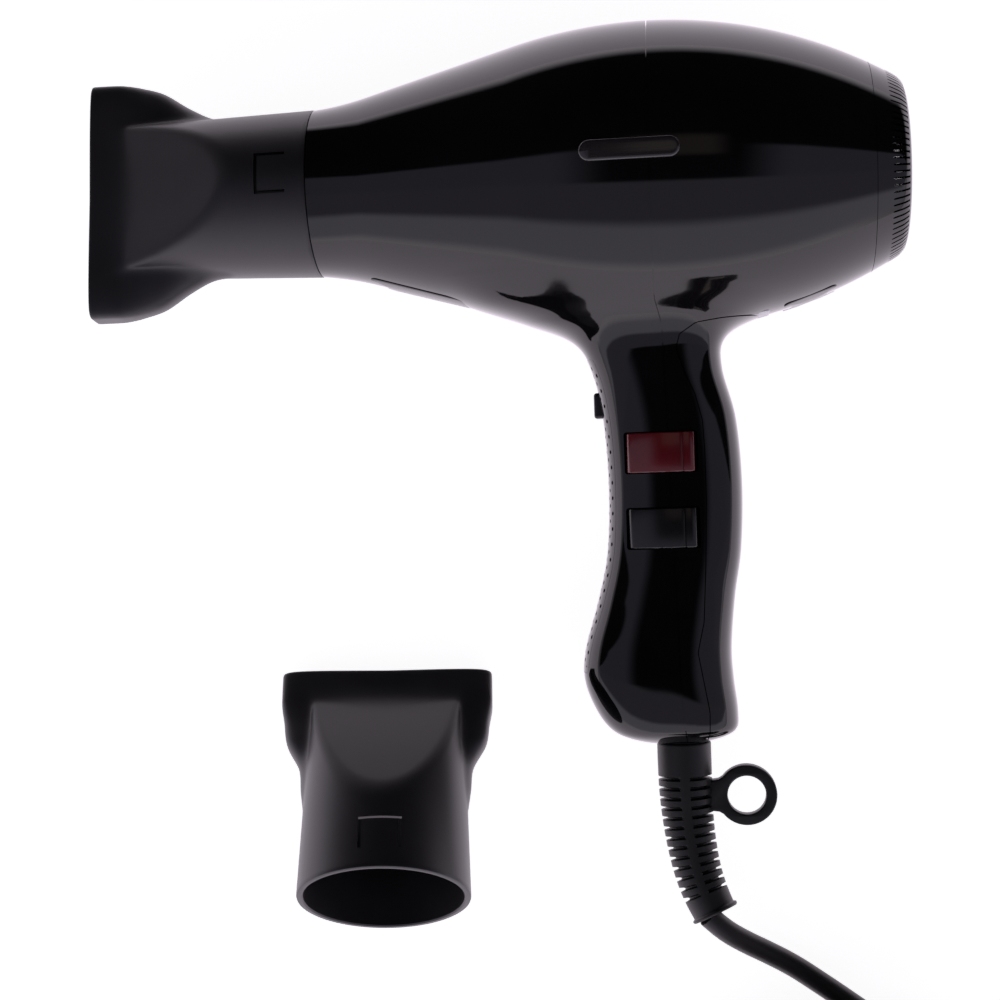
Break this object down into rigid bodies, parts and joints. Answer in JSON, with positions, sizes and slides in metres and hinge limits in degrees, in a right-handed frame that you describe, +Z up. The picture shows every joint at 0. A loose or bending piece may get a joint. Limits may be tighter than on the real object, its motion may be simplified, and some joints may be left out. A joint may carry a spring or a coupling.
{
  "type": "hair dryer",
  "caption": "Salon hair dryer lying on its side, with a turning flat nozzle, a spare nozzle, rocker switches, fan motor, heater and coiled mains lead.",
  "frame": {"origin": "on the table, under the middle of the box round the dryer and its spare nozzle, without the lead and what is on it", "axes": "+Z up from the table; +X along the barrel towards the air inlet, 5.7 degrees below the barrel axis; the handle points to -Y"},
  "size_m": [0.2809, 0.4083, 0.0968],
  "materials": {
    "gloss_shell": "high gloss black",
    "badge": "smoked gloss",
    "label_panel": "satin",
    "rating_plate": "satin foil",
    "strip": "satin",
    "outlet_plastic": "heat-resistant moulding",
    "outlet_grille": "stamped",
    "screw_steel": "zinc plated",
    "mica": "pressed mica",
    "heater_wire": "resistance wire",
    "thermostat": "pressed cap",
    "fuse": "glazed body",
    "laminations": "stacked sheet",
    "copper_winding": "enamelled wire",
    "motor_bracket": "pressed",
    "bearing_bronze": "sintered",
    "carbon": "pressed carbon",
    "brass": "pressed",
    "capacitor": "dipped",
    "switch_frame": "moulded",
    "micro_switch": "moulded",
    "terminal": "moulded",
    "wire_insulation": "extruded",
    "lead_sheath": "extruded",
    "strain_relief": "moulded",
    "tie": "soft strip",
    "plug_body": "moulded",
    "plug_pins": "plated",
    "rear_cover": "gloss black",
    "filter_mesh": "punched",
    "nozzle": "fine spark texture",
    "speed_rocker": "translucent red",
    "heat_rocker": "satin black",
    "commutator": "turned copper",
    "fan": "glass-filled moulding"
  },
  "bodies": {
    "housing": {"front_casing": "gloss_shell", "rear_casing": "gloss_shell", "outlet_ring": "outlet_plastic", "outlet_grille": "outlet_grille", "badge_plate": "badge", "front_label_panel": "label_panel", "rear_label_panel": "label_panel", "rating_plate": "rating_plate", "handle_vent_strip": "strip", "handle_rear_insert": "gloss_shell", "casing_screws": "screw_steel", "mica_sleeve": "mica", "heater_boards": "mica", "heater_coils": "heater_wire", "thermostat": "thermostat", "thermal_fuse": "fuse", "motor_mount": "outlet_plastic", "motor_stator": "laminations", "field_windings": "copper_winding", "front_bracket": "motor_bracket", "rear_bracket": "motor_bracket", "shaft_bearings": "bearing_bronze", "carbon_brushes": "carbon", "brush_holders": "brass", "fan_shroud": "outlet_plastic", "suppressor_capacitor": "capacitor", "speed_switch": "switch_frame", "heat_switch": "switch_frame", "cool_shot_switch": "micro_switch", "terminal_block": "terminal", "handle_wiring": "wire_insulation", "inner_lead": "lead_sheath", "cord_clamp": "outlet_plastic", "clamp_screws": "screw_steel", "button_spring": "screw_steel", "strain_relief": "strain_relief", "hang_loop": "strain_relief", "cord_lead": "lead_sheath", "cord_coil": "lead_sheath", "cord_tail": "lead_sheath", "cord_tie": "tie", "plug_body": "plug_body", "plug_pins": "plug_pins"},
    "rear_cover": {"rear_cover": "rear_cover", "filter_mesh": "filter_mesh", "filter_frame": "outlet_plastic"},
    "nozzle": {"nozzle": "nozzle"},
    "spare_nozzle": {"spare_nozzle": "nozzle"},
    "speed_rocker": {"speed_rocker": "speed_rocker"},
    "heat_rocker": {"heat_rocker": "heat_rocker"},
    "cool_shot_button": {"cool_shot_button": "heat_rocker"},
    "fan_rotor": {"motor_shaft": "screw_steel", "armature_core": "laminations", "armature_windings": "copper_winding", "commutator": "commutator", "fan_impeller": "fan", "fan_nut": "screw_steel"}
  },
  "joints": [
    {"name": "nozzle_swivel", "type": "hinge", "parent": "housing", "child": "nozzle", "pos_m": [-0.08016, 0.0899, 0.03542], "axis": [0.9951, 0, 0.0993], "continuous": true},
    {"name": "rear_cover_pull", "type": "slide", "parent": "housing", "child": "rear_cover", "axis": [0.9951, 0, 0.0993], "range_m": [0, 0.03]},
    {"name": "fan_spin", "type": "hinge", "parent": "housing", "child": "fan_rotor", "pos_m": [0.0492, 0.0899, 0.04833], "axis": [0.9951, 0, 0.0993], "continuous": true},
    {"name": "speed_rocker_tilt", "type": "hinge", "parent": "housing", "child": "speed_rocker", "pos_m": [0.05063, 0.00412, 0.04331], "axis": [-0.0179, 0.9836, 0.1796], "range_deg": [-5, 5]},
    {"name": "heat_rocker_tilt", "type": "hinge", "parent": "housing", "child": "heat_rocker", "pos_m": [0.05104, -0.01841, 0.0392], "axis": [-0.0179, 0.9836, 0.1796], "range_deg": [-5, 5]},
    {"name": "cool_shot_press", "type": "slide", "parent": "housing", "child": "cool_shot_button", "axis": [0.9951, 0, 0.0993], "range_m": [0, 0.0018], "stiffness_N_per_m": 250, "springref_m": -0.001, "deforming": ["button_spring"]},
    {"name": "spare_nozzle_lift", "type": "slide", "parent": "housing", "child": "spare_nozzle", "axis": [0, 0, 1], "range_m": [0, 0.12]}
  ]
}
